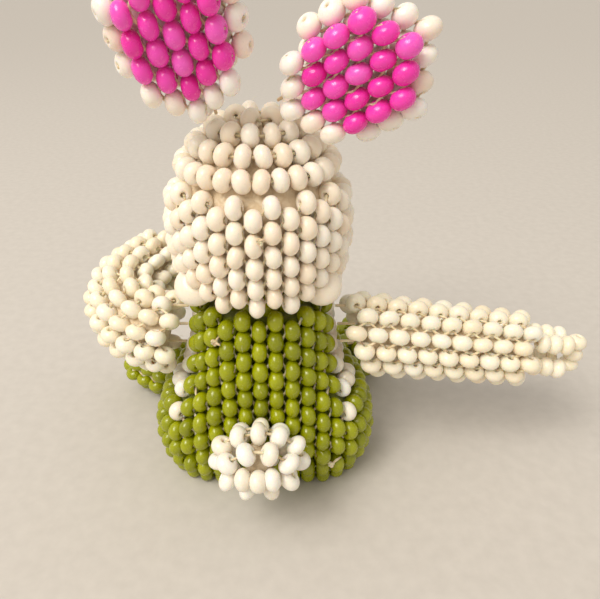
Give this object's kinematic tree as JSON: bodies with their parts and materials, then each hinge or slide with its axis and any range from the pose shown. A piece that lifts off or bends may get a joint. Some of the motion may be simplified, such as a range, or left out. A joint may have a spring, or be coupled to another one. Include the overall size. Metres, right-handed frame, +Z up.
{
  "type": "beaded bunny figure",
  "caption": "Bunny woven from glass seed beads over soft stuffing: ivory head and arms, green body, white side patches and tail, pink-lined ears.",
  "frame": {"origin": "on the ground, under the middle of the body", "axes": "+Z up, +Y the way the face looks, +X to the figure's right as seen from behind"},
  "size_m": [0.0564, 0.0361, 0.0538],
  "materials": {
    "green_beads": "glossy",
    "ivory_beads": "glossy",
    "white_beads": "glossy",
    "pink_beads": "glossy",
    "nose_bead": "glossy",
    "black_beads": "glossy",
    "thread": "matte",
    "stuffing": "matte"
  },
  "bodies": {
    "torso": {"body_back_beads": "green_beads", "body_front_beads": "green_beads", "hip_beads": "green_beads", "hem_beads": "green_beads", "base_rim_beads": "green_beads", "left_side_patch_beads": "white_beads", "right_side_patch_beads": "white_beads", "body_thread": "thread", "underside_beads": "green_beads", "underside_thread": "thread", "neck_cap_beads": "green_beads", "neck_cap_thread": "thread", "body_stuffing": "stuffing", "left_leg_beads": "green_beads", "right_leg_beads": "green_beads", "left_leg_thread": "thread", "right_leg_thread": "thread", "left_leg_stuffing": "stuffing", "right_leg_stuffing": "stuffing", "left_leg_stitches": "thread", "right_leg_stitches": "thread", "neck_stitches": "thread"},
    "head": {"head_back_beads": "ivory_beads", "head_front_beads": "ivory_beads", "head_side_beads": "ivory_beads", "eye_beads": "black_beads", "nose_bead": "nose_bead", "crown_beads": "ivory_beads", "head_thread": "thread", "head_stuffing": "stuffing"},
    "right_arm": {"right_arm_beads": "ivory_beads", "right_arm_thread": "thread", "right_arm_stuffing": "stuffing", "right_hand_beads": "ivory_beads", "right_hand_thread": "thread", "right_shoulder_stitches": "thread"},
    "left_arm": {"left_upper_arm_beads": "ivory_beads", "left_forearm_beads": "ivory_beads", "left_arm_thread": "thread", "left_arm_stuffing": "stuffing", "left_hand_beads": "ivory_beads", "left_hand_thread": "thread", "left_shoulder_stitches": "thread"},
    "left_ear": {"left_ear_white_beads": "white_beads", "left_ear_pink_beads": "pink_beads", "left_ear_thread": "thread", "left_ear_stitches": "thread"},
    "right_ear": {"right_ear_white_beads": "white_beads", "right_ear_pink_beads": "pink_beads", "right_ear_thread": "thread", "right_ear_stitches": "thread"},
    "tail": {"tail_beads": "white_beads", "tail_stuffing": "stuffing", "tail_thread": "thread"}
  },
  "joints": [
    {"name": "neck_turn", "type": "hinge", "parent": "torso", "child": "head", "pos_m": [0, 0, 0.02273], "axis": [0, 0, 1], "range_deg": [-20, 20]},
    {"name": "left_shoulder", "type": "hinge", "parent": "torso", "child": "left_arm", "pos_m": [-0.00822, -0.001, 0.0169], "axis": [0, 0, 1], "range_deg": [-8, 10]},
    {"name": "right_shoulder", "type": "hinge", "parent": "torso", "child": "right_arm", "pos_m": [0.00822, -0.001, 0.0169], "axis": [0, 0, 1], "range_deg": [-10, 8]},
    {"name": "tail_wag", "type": "hinge", "parent": "torso", "child": "tail", "pos_m": [0, -0.00912, 0.009], "axis": [0, 0, 1], "range_deg": [-6, 6]},
    {"name": "left_ear_fold", "type": "hinge", "parent": "head", "child": "left_ear", "pos_m": [-0.00408, -0.00377, 0.03885], "axis": [0.9877, 0, 0.1564], "range_deg": [-12, 12]},
    {"name": "right_ear_fold", "type": "hinge", "parent": "head", "child": "right_ear", "pos_m": [0.00159, -0.00377, 0.03988], "axis": [0.5299, 0, -0.848], "range_deg": [-12, 12]}
  ]
}
